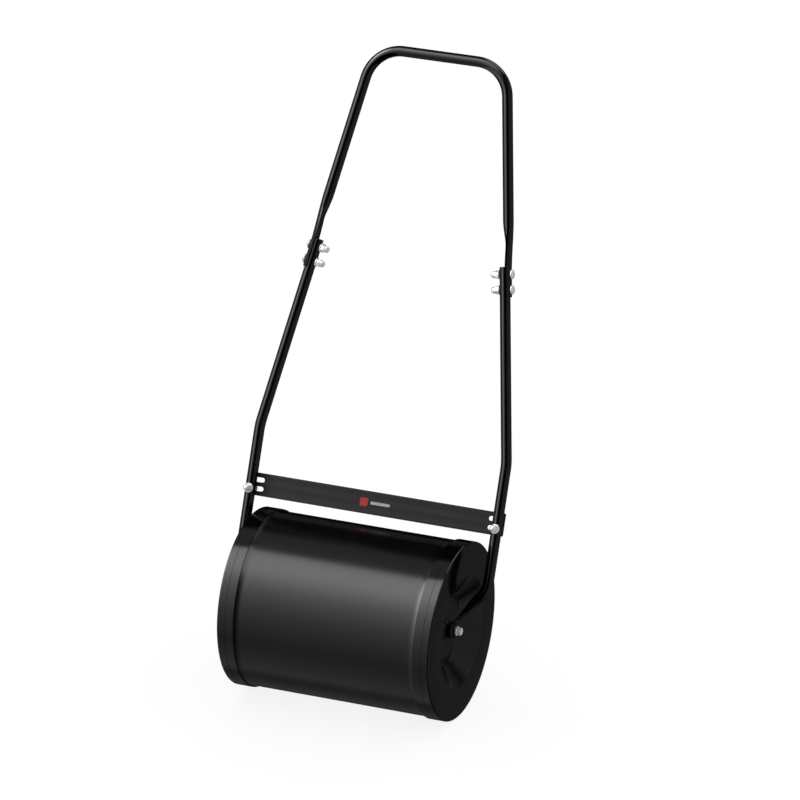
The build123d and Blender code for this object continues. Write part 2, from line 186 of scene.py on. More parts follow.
seen = place(
    sky, "ShaderNodeMixShader", None, {0: ray["Is Camera Ray"], 1: seen_dull.outputs[0],
                                       2: backdrop.outputs[0]}
)
place(sky, "ShaderNodeOutputWorld", None, {"Surface": seen.outputs[0]})

floor_reach = 40.0
floor_mesh = bpy.data.meshes.new("floor")
floor_mesh.from_pydata(
    [(x * floor_reach, y * floor_reach, 0) for x, y in ((-1, -1), (1, -1), (1, 1), (-1, 1))],
    [],
    [(0, 1, 2, 3)],
)
floor = bpy.data.objects.new("floor", floor_mesh)
scene.collection.objects.link(floor)
floor_paint = bpy.data.materials.new("pale_floor")
floor_paint.use_nodes = True
floor_tree = floor_paint.node_tree
floor_tree.nodes.clear()
floor_matt = place(floor_tree, "ShaderNodeBsdfDiffuse", None, {"Color": (0.16, 0.16, 0.16, 1)})
floor_glow = place(floor_tree, "ShaderNodeEmission", None, {"Strength": 0.87})
floor_sum = place(
    floor_tree, "ShaderNodeAddShader", None, {0: floor_matt.outputs[0], 1: floor_glow.outputs[0]}
)
place(floor_tree, "ShaderNodeOutputMaterial", None, {"Surface": floor_sum.outputs[0]})
floor_mesh.materials.append(floor_paint)
floor.visible_glossy = False
floor.visible_diffuse = False
scene.view_settings.view_transform = "Standard"


# ------------------------------------------------------------------ drum shell
# The roller's body is rolled steel sheet, flared towards its ends and powder-coated black.
# A joggled tongue at each end runs under the end's skirt, which leaves a narrow open seam.
end_low, end_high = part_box("end_cap_right")
half_width = end_high.x
axle_height = (end_low.z + end_high.z) / 2
rim_radius = (end_high.z - end_low.z) / 2
tongue_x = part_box("drum_shell")[1].x
lap_length = 0.009
seam_x = tongue_x - lap_length
sheet = 0.0012
waist_drop = 0.003
flare_length = 0.028
joggle = 0.0016
full_turn = [2 * pi * i / 240 for i in range(240)]


def skinned(name, rings, loop=False, sharp=35):
    """A closed mesh through rings of points. Its ends are capped, or joined if it is a loop."""
    count = len(rings[0])
    faces = []
    for r in range(len(rings) if loop else len(rings) - 1):
        here = r * count
        there = (r + 1) % len(rings) * count
        for i in range(count):
            j = (i + 1) % count
            faces.append((here + i, here + j, there + j, there + i))
    if not loop:
        for start in (0, (len(rings) - 1) * count):
            for i in range(count // 2):
                corners = (i, i + 1, count - i - 1, (count - i) % count)
                faces.append([start + corner for corner in dict.fromkeys(corners)])
    shape = bpy.data.meshes.new(name)
    shape.from_pydata([point for ring in rings for point in ring], [], faces)
    return tidied(shape, sharp)


def tidied(shape, sharp=35):
    """The mesh with its faces turned outwards, smooth except at its sharp edges."""
    work = bmesh.new()
    work.from_mesh(shape)
    bmesh.ops.remove_doubles(work, verts=work.verts, dist=1e-7)
    bmesh.ops.recalc_face_normals(work, faces=work.faces)
    work.to_mesh(shape)
    work.free()
    shape.shade_smooth()
    shape.set_sharp_from_angle(angle=radians(sharp))
    return shape


def joined(name, shapes, sharp=35):
    """Several closed meshes as one."""
    work = bmesh.new()
    for shape in shapes:
        work.from_mesh(shape)
    whole = bpy.data.meshes.new(name)
    work.to_mesh(whole)
    work.free()
    whole.shade_smooth()
    whole.set_sharp_from_angle(angle=radians(sharp))
    return whole


def rounded(corners, radii, step=radians(12)):
    """A line of corners whose inner corners are rounded by arcs of the given radii."""
    corners = [Vector(corner) for corner in corners]
    line = [corners[0]]
    for before, corner, after, radius in zip(corners, corners[1:], corners[2:], radii):
        back = (before - corner).normalized()
        on = (after - corner).normalized()
        half = back.angle(on) / 2
        centre = corner + (back + on).normalized() * radius / sin(half)
        first = corner + back * radius / tan(half) - centre
        last = corner + on * radius / tan(half) - centre
        turn = pi - 2 * half
        count = max(2, ceil(turn / step))
        for i in range(count + 1):
            share = i / count * turn
            arm = (first * sin(turn - share) + last * sin(share)) / sin(turn)
            line.append(centre + arm)
    line.append(corners[-1])
    return line


def turned(name, outline, angles=full_turn, loop=True, sharp=35):
    """A mesh turned about the axle from an outline of (distance along it, radius) points."""
    rings = [
        [(x, -radius * sin(a), axle_height + radius * cos(a)) for a in angles]
        for x, radius in outline
    ]
    return skinned(name, rings, loop, sharp)


def mirrored(outline):
    """The same outline at the left-hand end."""
    return [(-x, radius) for x, radius in outline]


def flare(radius):
    """The body's outline from its straight middle to the end of its flare."""
    start = seam_x - joggle - flare_length
    steps = 12
    return [
        (start + flare_length * i / steps, radius + waist_drop * (1 - cos(pi * i / steps)) / 2)
        for i in range(steps + 1)
    ]


waist = rim_radius - waist_drop
tongue = rim_radius - sheet
outer_corner = rounded(
    [(seam_x - joggle, rim_radius), (seam_x, rim_radius), (seam_x, tongue), (tongue_x, tongue),
     (tongue_x, tongue - sheet), (seam_x - joggle, tongue - sheet)],
    [0.0005, 0.0002, 0.0003, 0.0003],
)
half_outline = flare(waist)[:-1] + outer_corner + flare(waist - sheet)[::-1][1:]
body_outline = half_outline + mirrored(half_outline[::-1])


def add_piece(shape, body, finish, nodes=()):
    """Puts a finished mesh in the scene: on its body, with its material, for its CAD nodes."""
    piece = bpy.data.objects.new(shape.name, shape)
    scene.collection.objects.link(piece)
    shape.materials.clear()
    shape.materials.append(finish)
    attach(piece, body)
    if nodes:
        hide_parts(*nodes)
    return piece


def new_group(name, **inputs):
    """A shader node group with named inputs, and the Object coordinates that it works on."""
    group = bpy.data.node_groups.new(name, "ShaderNodeTree")
    for label, default in inputs.items():
        group.interface.new_socket(
            name=label.replace("_", " ").title(), in_out="INPUT", socket_type="NodeSocketFloat"
        ).default_value = default
    for label, kind in (("Roughness", "Float"), ("Marks", "Float"), ("Normal", "Vector")):
        group.interface.new_socket(
            name=label, in_out="OUTPUT", socket_type="NodeSocket" + kind
        )
    coordinates = place(group, "ShaderNodeTexCoord").outputs["Object"]
    return group, group.nodes.new("NodeGroupInput").outputs, coordinates


def finish_group(group, roughness, marks, height, depth):
    """Links a group's roughness, its marks and the relief of a height to its outputs."""
    relief = place(
        group, "ShaderNodeBump", None, {"Height": height, "Distance": depth, "Strength": 1.0}
    ).outputs["Normal"]
    ends = group.nodes.new("NodeGroupOutput").inputs
    for label, value in (("Roughness", roughness), ("Marks", marks), ("Normal", relief)):
        group.links.new(value, ends[label])


def noise(tree, place_on, scale, detail=3.0, rough=0.5):
    """The value of a noise texture."""
    node = place(
        tree,
        "ShaderNodeTexNoise",
        None,
        {"Vector": place_on, "Scale": scale, "Detail": detail, "Roughness": rough},
    )
    return node.outputs["Fac"]


# Powder coat: a fine orange peel, slow changes of gloss, and a little settled dust.
coat_skin, skin_in, surface = new_group(
    "coat_skin", peel_size=420.0, peel_depth=0.000012, gloss=0.24, gloss_change=0.05, dust=0.1
)
peel = noise(coat_skin, surface, skin_in["Peel Size"], 2.0)
pimples = noise(coat_skin, surface, maths(coat_skin, "MULTIPLY", skin_in["Peel Size"], 4.0), 1.0)
skin_height = maths(coat_skin, "MULTIPLY_ADD", pimples, 0.25, peel)
clouds = faded(coat_skin, noise(coat_skin, surface, 11.0, 4.0, 0.6), 0.35, 0.65, -1.0, 1.0)
dust_drift = faded(coat_skin, noise(coat_skin, surface, 23.0, 5.0, 0.65), 0.5, 0.75)
dust_specks = faded(coat_skin, noise(coat_skin, surface, 1500.0, 2.0), 0.6, 0.75)
dust_film = maths(coat_skin, "MULTIPLY_ADD", dust_specks, 0.8, dust_drift)
dust = maths(coat_skin, "MULTIPLY", dust_film, skin_in["Dust"])
skin_gloss = maths(coat_skin, "MULTIPLY_ADD", clouds, skin_in["Gloss Change"], skin_in["Gloss"])
skin_roughness = maths(coat_skin, "MULTIPLY_ADD", dust, 0.5, skin_gloss)
finish_group(coat_skin, skin_roughness, dust, skin_height, skin_in["Peel Depth"])

dust_colour = (0.16, 0.145, 0.12, 1)


def finish_from(group, name, colour, marked_colour, values):
    """A material whose gloss, relief and marks come from a group, with a colour for the marks."""
    finish = bpy.data.materials.new(name)
    finish.use_nodes = True
    tree = finish.node_tree
    principled = tree.nodes["Principled BSDF"]
    inputs = {label.replace("_", " ").title(): value for label, value in values.items()}
    look = place(tree, "ShaderNodeGroup", {"node_tree": group}, inputs).outputs
    shade = place(
        tree, "ShaderNodeMix", {"data_type": "RGBA"}, {0: look["Marks"], 6: colour, 7: marked_colour}
    )
    tree.links.new(shade.outputs[2], principled.inputs["Base Color"])
    tree.links.new(look["Roughness"], principled.inputs["Roughness"])
    tree.links.new(look["Normal"], principled.inputs["Normal"])
    return finish


def powder_coat(name, colour, **skin):
    """A powder-coated finish: one colour under the coat's own peel, gloss and dust."""
    return finish_from(coat_skin, name, colour, dust_colour, skin)


drum_paint = powder_coat(
    "drum_paint", (0.0012, 0.0012, 0.0013, 1), gloss=0.2, gloss_change=0.012, dust=0.006
)
add_piece(turned("shell_body", body_outline), "drum", drum_paint, ["drum_shell"])


# ------------------------------------------------------------------ shell weld
# The rolled body is closed by one weld along its back, laid as a row of overlapping scales.
weld_angle = radians(-128)
weld_reach = seam_x - joggle - flare_length - 0.004
scale_pitch = 0.0026


def new_input(tree, name, kind):
    """A named input of a Geometry Nodes tree; gives the identifier that a modifier sets."""
    return tree.interface.new_socket(name=name, in_out="INPUT", socket_type=kind).identifier


weld_run = bpy.data.node_groups.new("weld_run", "GeometryNodeTree")
weld_run.interface.new_socket(name="Bead", in_out="OUTPUT", socket_type="NodeSocketGeometry")
weld_inputs = {
    name: new_input(weld_run, name, kind)
    for name, kind in (
        ("Path", "NodeSocketGeometry"),
        ("Pitch", "NodeSocketFloat"),
        ("Width", "NodeSocketFloat"),
        ("Height", "NodeSocketFloat"),
        ("Paint", "NodeSocketMaterial"),
    )
}
weld_in = weld_run.nodes.new("NodeGroupInput").outputs
weld_line = place(weld_run, "GeometryNodeMeshToCurve", None, {0: weld_in["Path"]})
weld_points = place(
    weld_run,
    "GeometryNodeCurveToPoints",
    {"mode": "LENGTH"},
    {"Curve": weld_line.outputs[0], "Length": weld_in["Pitch"]},
)
weld_scale = place(
    weld_run, "GeometryNodeMeshUVSphere", None, {"Segments": 12, "Rings": 8, "Radius": 1.0}
)
weld_size = place(
    weld_run,
    "ShaderNodeCombineXYZ",
    None,
    {"X": weld_in["Height"], "Y": weld_in["Width"], "Z": weld_in["Pitch"]},
)
weld_unevenness = place(
    weld_run,
    "FunctionNodeRandomValue",
    {"data_type": "FLOAT"},
    {2: 0.9, 3: 1.08, "Seed": 7},
)
weld_uneven_size = place(
    weld_run,
    "ShaderNodeVectorMath",
    {"operation": "SCALE"},
    {0: weld_size.outputs[0], "Scale": weld_unevenness.outputs[1]},
)
weld_out_facing = place(weld_run, "GeometryNodeInputNamedAttribute", {"data_type": "FLOAT_VECTOR"},
                        {"Name": "away"})
weld_turn = place(
    weld_run,
    "FunctionNodeAxesToRotation",
    {"primary_axis": "Z", "secondary_axis": "X"},
    {"Primary Axis": weld_points.outputs["Tangent"],
     "Secondary Axis": weld_out_facing.outputs[0]},
)
weld_scales = place(
    weld_run,
    "GeometryNodeInstanceOnPoints",
    None,
    {"Points": weld_points.outputs["Points"], "Instance": weld_scale.outputs["Mesh"],
     "Rotation": weld_turn.outputs[0], "Scale": weld_uneven_size.outputs[0]},
)
weld_real = place(weld_run, "GeometryNodeRealizeInstances", None, {0: weld_scales.outputs[0]})
weld_smooth = place(weld_run, "GeometryNodeSetShadeSmooth", None, {0: weld_real.outputs[0]})
weld_painted = place(
    weld_run,
    "GeometryNodeSetMaterial",
    None,
    {"Geometry": weld_smooth.outputs[0], "Material": weld_in["Paint"]},
)
weld_end = weld_run.nodes.new("NodeGroupOutput")
weld_run.links.new(weld_painted.outputs[0], weld_end.inputs["Bead"])


def grown(name, source, tree, values):
    """The plain mesh that a Geometry Nodes tree makes from a source mesh."""
    carrier = bpy.data.objects.new(name + "_path", source)
    scene.collection.objects.link(carrier)
    modifier = carrier.modifiers.new(tree.name, "NODES")
    modifier.node_group = tree
    for identifier, value in values.items():
        modifier[identifier] = value
    graph = bpy.context.evaluated_depsgraph_get()
    shape = bpy.data.meshes.new_from_object(carrier.evaluated_get(graph), depsgraph=graph)
    shape.name = name
    carrier.modifiers.remove(modifier)
    bpy.data.objects.remove(carrier)
    return shape


def weld(name, path, away, closed, width, height, finish, pitch=scale_pitch):
    """A weld bead along a path of points; away is each point's direction off the surface."""
    route = bpy.data.meshes.new(name + "_route")
    edges = [(i, i + 1) for i in range(len(path) - 1)]
    if closed:
        edges.append((len(path) - 1, 0))
    route.from_pydata(path, edges, [])
    off = route.attributes.new("away", "FLOAT_VECTOR", "POINT")
    for i, direction in enumerate(away):
        off.data[i].vector = direction
    return grown(
        name,
        route,
        weld_run,
        {
            weld_inputs["Pitch"]: pitch,
            weld_inputs["Width"]: width,
            weld_inputs["Height"]: height,
            weld_inputs["Paint"]: finish,
        },
    )


weld_off = Vector((0, -sin(weld_angle), cos(weld_angle)))
weld_foot = weld_off * waist + Vector((0, 0, axle_height))
seam_weld = weld(
    "shell_weld",
    [weld_foot + Vector((weld_reach * share, 0, 0)) for share in (-1, 1)],
    [weld_off] * 2,
    False,
    0.0028,
    0.0007,
    drum_paint,
)
add_piece(seam_weld, "drum", drum_paint)


# ------------------------------------------------------------------ ends
# Each end is one pressing: a skirt round the rim, a flat face and a deep recess that keeps the
# handle's lug inside the drum's width. The left end alone has the filler hole.
seam_gap = end_low.x - seam_x
face_edge_radius = 0.003
recess_rim_radius = 0.101
recess_rim_fillet = 0.005
recess_floor_radius = 0.064
recess_floor_fillet = 0.009
recess_depth = 0.030
sleeve_low, sleeve_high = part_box("axle_sleeve")
sleeve_radius = (sleeve_high.z - sleeve_low.z) / 2
recess_floor_x = half_width - recess_depth


def offset_line(line, distance):
    """The points of a line moved to its right-hand side."""
    moved = []
    for i, point in enumerate(line):
        before = line[max(i - 1, 0)]
        after = line[min(i + 1, len(line) - 1)]
        along = (after - before).normalized()
        moved.append(point + Vector((along.y, -along.x)) * distance)
    return moved


def set_apart(line):
    """The line without points that repeat the one before."""
    kept = [line[0]]
    for point in line[1:]:
        if (point - kept[-1]).length > 1e-6:
            kept.append(point)
    return kept


face_line = set_apart(rounded(
    [(seam_x + seam_gap, rim_radius), (half_width, rim_radius), (half_width, recess_rim_radius),
     (recess_floor_x, recess_floor_radius), (recess_floor_x, sleeve_radius)],
    [face_edge_radius, recess_rim_fillet, recess_floor_fillet],
    radians(7),
))
inner_line = offset_line(face_line, sheet)
skirt_lip = [
    Vector((face_line[0].x, rim_radius - 0.0003)), Vector((face_line[0].x + 0.0003, rim_radius)),
]
end_outline = skirt_lip + face_line[1:] + inner_line[::-1]
end_paint = powder_coat(
    "end_paint", (0.0012, 0.0012, 0.0013, 1), gloss=0.11, gloss_change=0.01, dust=0.006
)
add_piece(
    turned("end_right", end_outline), "drum", end_paint, ["end_cap_right"]
)

boss_low, boss_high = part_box("fill_boss")
port_y = (boss_low.y + boss_high.y) / 2
port_z = (boss_low.z + boss_high.z) / 2
port_radius = 0.013
port_ring = [2 * pi * i / 48 for i in range(48)]


def port_point(x, radius, angle):
    """A point round the filler hole's axis."""
    return (x, port_y + radius * cos(angle), port_z + radius * sin(angle))


port_cutter = bpy.data.objects.new("port_cutter", skinned(
    "port_cutter",
    [[port_point(x, port_radius, a) for a in port_ring]
     for x in (-half_width - 0.005, -half_width + 0.005)],
))
scene.collection.objects.link(port_cutter)


def cut(shape, cutters):
    """The mesh after each cutter has been taken out of it."""
    solid = bpy.data.objects.new(shape.name, shape)
    scene.collection.objects.link(solid)
    for cutter in cutters:
        modifier = solid.modifiers.new("cut", "BOOLEAN")
        modifier.object = cutter
        modifier.operation = "DIFFERENCE"
        modifier.solver = "EXACT"
    graph = bpy.context.evaluated_depsgraph_get()
    result = bpy.data.meshes.new_from_object(solid.evaluated_get(graph), depsgraph=graph)
    result.name = shape.name
    bpy.data.objects.remove(solid)
    for cutter in cutters:
        bpy.data.objects.remove(cutter)
    return tidied(result)


end_left = cut(turned("end_left", mirrored(end_outline)), [port_cutter])
add_piece(end_left, "drum", end_paint, ["end_cap_left"])


# ------------------------------------------------------------------ hub welds
# A fillet weld ties the centre sleeve to each recess floor and is painted with the drum.
weld_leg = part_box("hub_welds")[1].x - recess_floor_x
bead_sink = 0.0002
hub_beads = []
for side in (-1, 1):
    bead_line = [
        (side * (recess_floor_x - bead_sink), sleeve_radius - 2 * bead_sink),
        (side * (recess_floor_x - bead_sink), sleeve_radius + weld_leg * 0.95),
        (side * (recess_floor_x + weld_leg * 0.3), sleeve_radius + weld_leg * 0.45),
        (side * (recess_floor_x + weld_leg * 0.95), sleeve_radius - bead_sink),
    ]
    hub_beads.append(turned("bead_base", bead_line, port_ring))
    ring_radius = sleeve_radius + weld_leg * 0.28
    hub_path = [
        Vector((side * (recess_floor_x + weld_leg * 0.28), -ring_radius * sin(a),
                axle_height + ring_radius * cos(a)))
        for a in port_ring
    ]
    hub_away = [Vector((side, -sin(a), cos(a))).normalized() for a in port_ring]
    hub_beads.append(
        weld("bead_scales", hub_path, hub_away, True, 0.0021, 0.0012, drum_paint, 0.0021)
    )
add_piece(joined("hub_weld_beads", hub_beads), "drum", drum_paint, ["hub_welds"])


# ------------------------------------------------------------------ sleeve and axle
# The plain steel sleeve inside the drum, and the ground steel bar that the lugs clamp. Their own
# shapes are right, so they only get materials: bare steel on the bar, and the drum's paint on the
# sleeve and on the filler hole's boss.
metal_grain, grain_in, metal_surface = new_group(
    "metal_grain", grain_size=900.0, grain_depth=0.000006, gloss=0.3, tarnish=0.2, lay_x=1.0
)
lay = place(metal_grain, "ShaderNodeCombineXYZ", None, {"X": grain_in["Lay X"], "Y": 1.0, "Z": 1.0})
laid_surface = place(
    metal_grain,
    "ShaderNodeVectorMath",
    {"operation": "MULTIPLY"},
    {0: metal_surface, 1: lay.outputs[0]},
).outputs[0]
grain = noise(metal_grain, laid_surface, grain_in["Grain Size"], 3.0, 0.6)
blooms = faded(metal_grain, noise(metal_grain, metal_surface, 190.0, 4.0, 0.6), 0.4, 0.72)
tarnish = maths(metal_grain, "MULTIPLY", blooms, grain_in["Tarnish"])
metal_gloss = maths(
    metal_grain, "ADD", grain_in["Gloss"], maths(metal_grain, "MULTIPLY", grain, 0.12)
)
metal_roughness = maths(metal_grain, "MULTIPLY_ADD", tarnish, 0.3, metal_gloss)
finish_group(metal_grain, metal_roughness, tarnish, grain, grain_in["Grain Depth"])


def bare_metal(name, clean, dull, metallic=1.0, **values):
    """A metal finish with its grain and a duller colour where it has tarnished."""
    finish = finish_from(metal_grain, name, clean, dull, values)
    finish.node_tree.nodes["Principled BSDF"].inputs["Metallic"].default_value = metallic
    return finish


def dress(node, finish):
    """Gives a CAD node its material."""
    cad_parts[node].data.materials.clear()
    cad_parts[node].data.materials.append(finish)


axle_steel = bare_metal(
    "axle_steel", (0.42, 0.41, 0.4, 1), (0.16, 0.13, 0.1, 1), gloss=0.28, tarnish=0.5, lay_x=12.0
)
dress("axle_shaft", axle_steel)
dress("axle_sleeve", drum_paint)
dress("fill_boss", drum_paint)


# ------------------------------------------------------------------ bushes
# Flanged bushes of black nylon, pressed into the sleeve; the axle bar turns in them.
moulding, moulding_in, moulded_surface = new_group(
    "moulding", grain_size=1400.0, grain_depth=0.00001, gloss=0.42, grime=0.2
)
moulded_grain = noise(moulding, moulded_surface, moulding_in["Grain Size"], 2.0)
grime = maths(
    moulding,
    "MULTIPLY",
    faded(moulding, noise(moulding, moulded_surface, 160.0, 5.0, 0.6), 0.45, 0.75),
    moulding_in["Grime"],
)
moulded_gloss = maths(moulding, "MULTIPLY_ADD", moulded_grain, 0.1, moulding_in["Gloss"])
moulded_roughness = maths(moulding, "MULTIPLY_ADD", grime, 0.3, moulded_gloss)
finish_group(moulding, moulded_roughness, grime, moulded_grain, moulding_in["Grain Depth"])


def moulded(name, colour, grime_colour, **values):
    """A moulded plastic or rubber finish."""
    return finish_from(moulding, name, colour, grime_colour, values)


nylon = moulded(
    "nylon", (0.012, 0.012, 0.013, 1), (0.05, 0.048, 0.045, 1), gloss=0.36, grime=0.3
)
bush_low, bush_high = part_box("bush_right")
bush_flange_radius = (bush_high.z - bush_low.z) / 2
bush_flange = 0.003
bush_bore = 0.00805
bush_barrel = 0.0125
bush_outline = rounded(
    [(bush_high.x, bush_bore + 0.002), (bush_high.x, bush_flange_radius),
     (bush_high.x - bush_flange, bush_flange_radius), (bush_high.x - bush_flange, bush_barrel),
     (bush_low.x, bush_barrel), (bush_low.x, bush_bore), (bush_high.x, bush_bore),
     (bush_high.x, bush_bore + 0.001)],
    [0.0007, 0.0005, 0.0002, 0.0008, 0.0003, 0.0006],
)
add_piece(
    turned("bushing_right", bush_outline, port_ring), "drum", nylon, ["bush_right"]
)
add_piece(
    turned("bushing_left", mirrored(bush_outline), port_ring), "drum", nylon, ["bush_left"],
)


# ------------------------------------------------------------------ filler plug
# A moulded plug closes the water hole: ribbed flange, hexagon grip with a cored-out top, and a
# grooved shank. A rubber ring seals it against the end's face.
plug_low, plug_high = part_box("fill_plug")
gasket_low, gasket_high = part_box("plug_gasket")
plug_seat_x = gasket_low.x
plug_flange = 0.0035
plug_flange_radius = (plug_high.z - plug_low.z) / 2
plug_shank_radius = 0.0127
grip_flat = 0.012
plug_grip_height = 0.007
plug_grip_draft = radians(4)
flange_ribs = 36
well_depth = 0.005
rib_angles = [2 * pi * i / (flange_ribs * 4) for i in range(flange_ribs * 4)]


def flange_ring(x, radius, depth):
    """A ring of the flange's edge, with shallow ribs of the given depth."""
    return [
        port_point(x, radius - depth * (1 - cos(flange_ribs * a)) / 2, a) for a in rib_angles
    ]


groove_depth = 0.0006
shank_rings = []
shank_end_x = plug_high.x
for i in range(4):
    groove_x = plug_seat_x + 0.003 + i * 0.0028
    for dx, dip in ((0, 0), (0.0004, groove_depth), (0.0012, groove_depth), (0.0016, 0)):
        shank_rings.append(flange_ring(groove_x + dx, plug_shank_radius - dip, 0))
flange_x = plug_seat_x - plug_flange
plug_body = skinned(
    "plug_body",
    [
        flange_ring(flange_x - 0.0004, 0.004, 0),
        flange_ring(flange_x, 0.0145, 0),
        flange_ring(flange_x, plug_flange_radius - 0.0012, 0.0),
        flange_ring(flange_x + 0.0003, plug_flange_radius - 0.0004, 0.0004),
        flange_ring(flange_x + 0.001, plug_flange_radius, 0.0007),
        flange_ring(plug_seat_x - 0.0005, plug_flange_radius, 0.0007),
        flange_ring(plug_seat_x, plug_flange_radius - 0.0005, 0),
        flange_ring(plug_seat_x, plug_shank_radius, 0),
    ]
    + shank_rings
    + [
        flange_ring(shank_end_x - 0.0011, plug_shank_radius, 0),
        flange_ring(shank_end_x, plug_shank_radius - 0.0012, 0),
        flange_ring(shank_end_x, 0.001, 0),
    ],
)


def hex_reach(angle, flat, corner=0.0):
    """Distance from the middle of a hexagon to its edge, its corners eased by a radius."""
    from_flat = (angle + pi / 6) % (pi / 3) - pi / 6
    reach = flat / cos(from_flat)
    past = hypot(flat, flat * tan(pi / 6)) - corner
    return min(reach, past + (reach - past) * 0.35) if corner and reach > past else reach


def grip_ring(x, flat):
    """A ring of the plug's hexagon grip."""
    return [port_point(x, hex_reach(a, flat, 0.0006), a) for a in port_ring]


grip_top = plug_low.x
grip_lean = tan(plug_grip_draft) * plug_grip_height
plug_grip = skinned(
    "plug_grip",
    [
        grip_ring(flange_x + 0.0005, grip_flat),
        grip_ring(flange_x - 0.0002, grip_flat),
        grip_ring(grip_top + 0.0006, grip_flat - grip_lean),
        grip_ring(grip_top, grip_flat - grip_lean - 0.0007),
    ]
    + [
        [port_point(grip_top + depth, radius, a) for a in port_ring]
        for depth, radius in (
            (0, 0.0078), (0.0004, 0.0074), (0.0045, 0.0068), (well_depth, 0.0062),
            (well_depth, 0.0005),
        )
    ],
)
plug_plastic = moulded(
    "plug_plastic", (0.012, 0.012, 0.013, 1), (0.06, 0.055, 0.05, 1), gloss=0.4, grime=0.15
)
add_piece(
    joined("water_plug", [plug_body, plug_grip]), "plug", plug_plastic, ["fill_plug"],
)
gasket_radius = (gasket_high.z - gasket_low.z) / 2
gasket_ring = skinned(
    "gasket_ring",
    [[port_point(x, radius, a) for a in port_ring] for x, radius in rounded(
        [(gasket_low.x + 0.001, plug_shank_radius), (gasket_low.x, plug_shank_radius),
         (gasket_low.x, gasket_radius), (gasket_high.x, gasket_radius),
         (gasket_high.x, plug_shank_radius), (gasket_low.x + 0.0012, plug_shank_radius)],
        [0.0003, 0.0008, 0.0008, 0.0003],
    )],
    loop=True,
)
seal_rubber = moulded(
    "seal_rubber", (0.008, 0.008, 0.008, 1), (0.05, 0.048, 0.045, 1), gloss=0.62, grime=0.3
)
add_piece(gasket_ring, "plug", seal_rubber, ["plug_gasket"])


# ------------------------------------------------------------------ legs
# Each leg is one piece of round tube: cut square at the top, turned in at the knee and the
# ankle, and crimped flat at the bottom into a lug that is drilled for the axle bolt.
handle_lean = radians(23.4)
tube_radius = 0.0095
tube_bore = 0.0083
leg_half_spacing = 0.2345
knee_height = 0.3025
knee_radius = 0.120
toe_in = radians(9.6)
ankle_height = 0.080
ankle_radius = 0.045
crimp_start = 0.024
foot_length = 0.018
lug_thickness = 0.003
lug_width = 0.027
lug_outer_x = 0.190
thigh_length = 0.345
section_angles = [-pi / 2 + 2 * pi * i / 40 for i in range(40)]
up_leg = Vector((-sin(toe_in), cos(toe_in)))
out_leg = Vector((cos(toe_in), sin(toe_in)))
knee = Vector((leg_half_spacing, knee_height))
leg_top = knee + up_leg * thigh_length


def in_space(flat_point, outwards=0.0):
    """A point of the handle's leaning plane, or one in front of it, in the roller's space."""
    x, up = flat_point
    return Vector((
        x,
        up * sin(handle_lean) - outwards * cos(handle_lean),
        axle_height + up * cos(handle_lean) + outwards * sin(handle_lean),
    ))


def section(centre, along, across, depth, square=2.0):
    """A ring round a point of the handle's plane: across in the plane, depth out of it."""
    outward = Vector((along.y, -along.x))
    ring = []
    for angle in section_angles:
        u = abs(cos(angle)) ** (2 / square) * (1 if cos(angle) > 0 else -1)
        v = abs(sin(angle)) ** (2 / square) * (1 if sin(angle) > 0 else -1)
        ring.append(in_space(centre + outward * u * across, v * depth))
    return ring


def directions(line):
    """The direction of a line at each of its points."""
    ways = []
    for i in range(len(line)):
        before = line[max(i - 1, 0)]
        after = line[min(i + 1, len(line) - 1)]
        ways.append((after - before).normalized())
    return ways


def eased(share):
    """Smooth change from 0 to 1."""
    return share * share * (3 - 2 * share)


lug_middle = Vector((lug_outer_x - lug_thickness / 2, 0))
lug_top = lug_middle + Vector((0, foot_length))
ankle = Vector((leg_half_spacing, ankle_height))
crimp = ankle + (lug_top - ankle).normalized() * crimp_start
straight_down = Vector((0, -1))
lug_half = lug_width / 2

leg_line = set_apart(rounded([leg_top, knee, ankle, crimp], [knee_radius, ankle_radius], 0.07))
leg_ways = directions(leg_line)
leg_ways[0] = -up_leg
leg_rings = [
    section(leg_top - up_leg * depth, -up_leg, radius, radius)
    for radius, depth in ((tube_bore, 0.0002), (tube_bore + 0.0002, 0.0), (tube_radius - 0.0003, 0.0),
                          (tube_radius, 0.0003))
]
leg_rings += [
    section(point, way, tube_radius, tube_radius)
    for point, way in list(zip(leg_line, leg_ways))[1:]
]
crimp_steps = 14
foot_way = (lug_top - crimp).normalized()
for i in range(1, crimp_steps + 1):
    share = i / crimp_steps
    squash = eased(share)
    leg_rings.append(section(
        crimp.lerp(lug_top, share),
        foot_way.lerp(straight_down, max(0.0, share * 2 - 1)).normalized(),
        tube_radius + (lug_thickness / 2 - tube_radius) * squash,
        tube_radius + (lug_half - tube_radius) * squash,
        2 + 5 * squash,
    ))
leg_rings.append(section(lug_middle, straight_down, lug_thickness / 2, lug_half, 7))
for i in range(1, 12):
    turn = pi / 2 * i / 12
    leg_rings.append(section(
        lug_middle + straight_down * lug_half * sin(turn),
        straight_down,
        lug_thickness / 2,
        lug_half * cos(turn),
        7,
    ))
bore_rings = [
    section(point, way, tube_bore, tube_bore)
    for point, way in list(zip(leg_line, leg_ways))[1:]
]
right_leg_rings = bore_rings[::-1] + leg_rings


def flipped(vector):
    """A point or direction on the other side."""
    return Vector((-vector.x, vector.y, vector.z))


def in_the_glass(rings):
    """The same rings on the left-hand side."""
    return [[flipped(point) for point in ring] for ring in rings]


joint_bolt_inset = 0.013
joint_bolt_pitch = 0.027
joint_bolt_distances = [
    thigh_length - joint_bolt_inset,
    thigh_length - joint_bolt_inset - joint_bolt_pitch,
]
plate_centre = 0.196
slot_pitch = 0.016
bolt_hole = 0.0042
plate_bolt_height = plate_centre - slot_pitch / 2
front = in_space((0, 0), 1) - in_space((0, 0))


